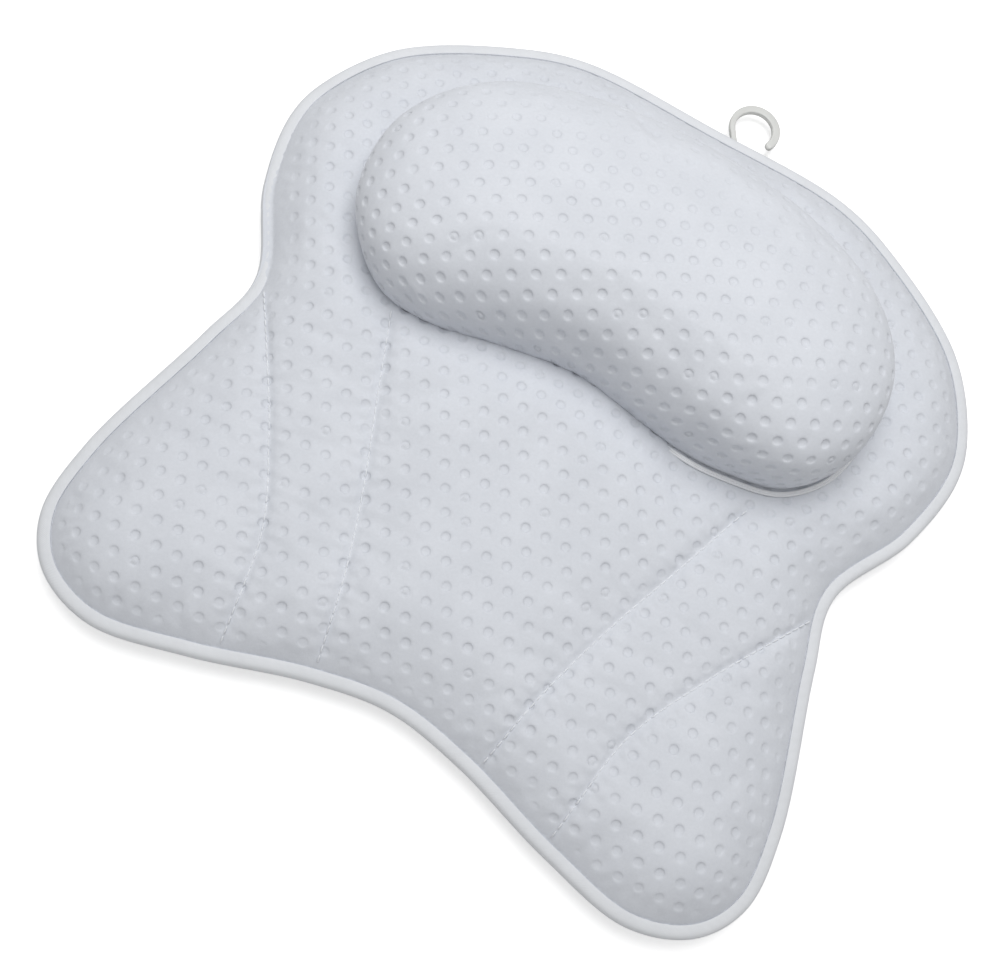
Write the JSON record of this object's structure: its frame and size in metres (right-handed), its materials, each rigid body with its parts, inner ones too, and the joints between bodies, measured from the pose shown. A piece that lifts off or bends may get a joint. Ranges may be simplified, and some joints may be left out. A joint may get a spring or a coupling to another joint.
{
  "type": "bath pillow",
  "caption": "Butterfly-shaped bath pillow of dimpled air mesh: a quilted pad with a raised kidney-shaped head cushion, bound edge, suction cups on its back and a hanging hook.",
  "frame": {"origin": "middle of the whole part's footprint, hook included, on the surface that the suction cups' lips stand on", "axes": "+X to the pillow's right as its face is seen with the top edge up, +Y towards the top edge with the hanging hook, +Z out of the face, away from the tub wall"},
  "size_m": [0.4198, 0.4475, 0.091],
  "materials": {
    "front_mesh": "matte white polyester air mesh, embossed with staggered round dimples",
    "back_mesh": "matte white open-hole air mesh",
    "fibre": "soft white polyester fibre",
    "binding_tape": "matte off-white woven tape",
    "thread": "white sewing thread",
    "hook_plastic": "satin off-white moulded plastic",
    "eyelet_plastic": "satin white moulded plastic",
    "cup_vinyl": "glossy, slightly cloudy soft vinyl"
  },
  "bodies": {
    "pillow": {"front_cover": "front_mesh", "back_cover": "back_mesh", "pad_filling": "fibre", "edge_binding": "binding_tape", "quilting_seam_outer_left": "thread", "quilting_seam_outer_right": "thread", "quilting_seam_inner_left": "thread", "quilting_seam_inner_right": "thread", "cushion_cover": "front_mesh", "cushion_filling": "fibre", "cushion_welt": "binding_tape", "hook_tape": "binding_tape", "eyelet_top_left": "eyelet_plastic", "eyelet_top_right": "eyelet_plastic", "eyelet_side_left": "eyelet_plastic", "eyelet_side_right": "eyelet_plastic", "eyelet_centre": "eyelet_plastic", "eyelet_wing_left": "eyelet_plastic", "eyelet_wing_right": "eyelet_plastic", "eyelet_washer_top_left": "eyelet_plastic", "eyelet_washer_top_right": "eyelet_plastic", "eyelet_washer_side_left": "eyelet_plastic", "eyelet_washer_side_right": "eyelet_plastic", "eyelet_washer_centre": "eyelet_plastic", "eyelet_washer_wing_left": "eyelet_plastic", "eyelet_washer_wing_right": "eyelet_plastic"},
    "hook": {"hanging_hook": "hook_plastic"},
    "cup_top_left": {"suction_cup_top_left": "cup_vinyl"},
    "cup_top_right": {"suction_cup_top_right": "cup_vinyl"},
    "cup_side_left": {"suction_cup_side_left": "cup_vinyl"},
    "cup_side_right": {"suction_cup_side_right": "cup_vinyl"},
    "cup_centre": {"suction_cup_centre": "cup_vinyl"},
    "cup_wing_left": {"suction_cup_wing_left": "cup_vinyl"},
    "cup_wing_right": {"suction_cup_wing_right": "cup_vinyl"}
  },
  "joints": [
    {"name": "hook_swing", "type": "hinge", "parent": "pillow", "child": "hook", "pos_m": [0.02, 0.1781, 0.0082], "axis": [1, 0, 0], "range_deg": [-150, 0]},
    {"name": "cup_turn_top_left", "type": "hinge", "parent": "pillow", "child": "cup_top_left", "pos_m": [-0.0756, 0.14456, 0.013], "axis": [0, 0, 1], "continuous": true},
    {"name": "cup_turn_top_right", "type": "hinge", "parent": "pillow", "child": "cup_top_right", "pos_m": [0.0756, 0.14456, 0.013], "axis": [0, 0, 1], "continuous": true},
    {"name": "cup_turn_side_left", "type": "hinge", "parent": "pillow", "child": "cup_side_left", "pos_m": [-0.1596, 0.05969, 0.013], "axis": [0, 0, 1], "continuous": true},
    {"name": "cup_turn_side_right", "type": "hinge", "parent": "pillow", "child": "cup_side_right", "pos_m": [0.1596, 0.05969, 0.013], "axis": [0, 0, 1], "continuous": true},
    {"name": "cup_turn_centre", "type": "hinge", "parent": "pillow", "child": "cup_centre", "pos_m": [0, -0.05002, 0.013], "axis": [0, 0, 1], "continuous": true},
    {"name": "cup_turn_wing_left", "type": "hinge", "parent": "pillow", "child": "cup_wing_left", "pos_m": [-0.1491, -0.17422, 0.013], "axis": [0, 0, 1], "continuous": true},
    {"name": "cup_turn_wing_right", "type": "hinge", "parent": "pillow", "child": "cup_wing_right", "pos_m": [0.1491, -0.17422, 0.013], "axis": [0, 0, 1], "continuous": true}
  ]
}
